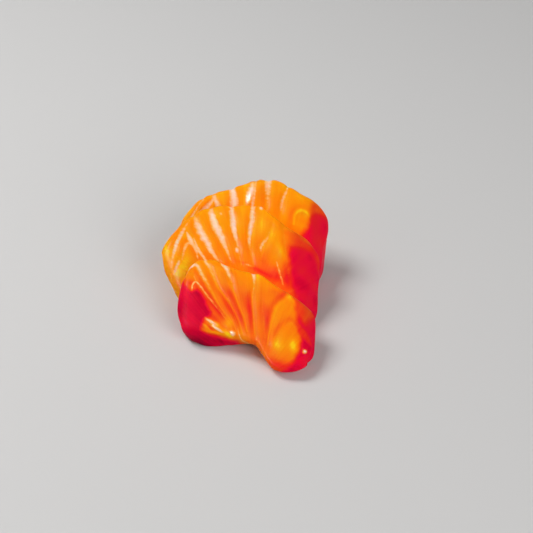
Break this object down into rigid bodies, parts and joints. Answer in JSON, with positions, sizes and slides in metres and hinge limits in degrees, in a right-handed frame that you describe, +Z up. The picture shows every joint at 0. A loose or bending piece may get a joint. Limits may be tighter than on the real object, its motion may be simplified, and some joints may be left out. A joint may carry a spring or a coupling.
{
  "type": "salmon sashimi",
  "caption": "Thick slices of raw salmon that lean on each other like tilted dominoes, with orange flakes, pale fat lines and crimson cut ends.",
  "frame": {"origin": "centre of the bounding box in plan, on the surface the slices stand on", "axes": "+Z up; +Y to the back, the way the slices lean; +X to the right, along the slices"},
  "size_m": [0.0672, 0.0822, 0.0372],
  "materials": {
    "salmon": "wet raw salmon flesh, orange with pale fat lines, crimson on the cut ends"
  },
  "bodies": {
    "root": {"slice_back": "salmon", "slice_middle": "salmon", "slice_front": "salmon"}
  },
  "joints": []
}
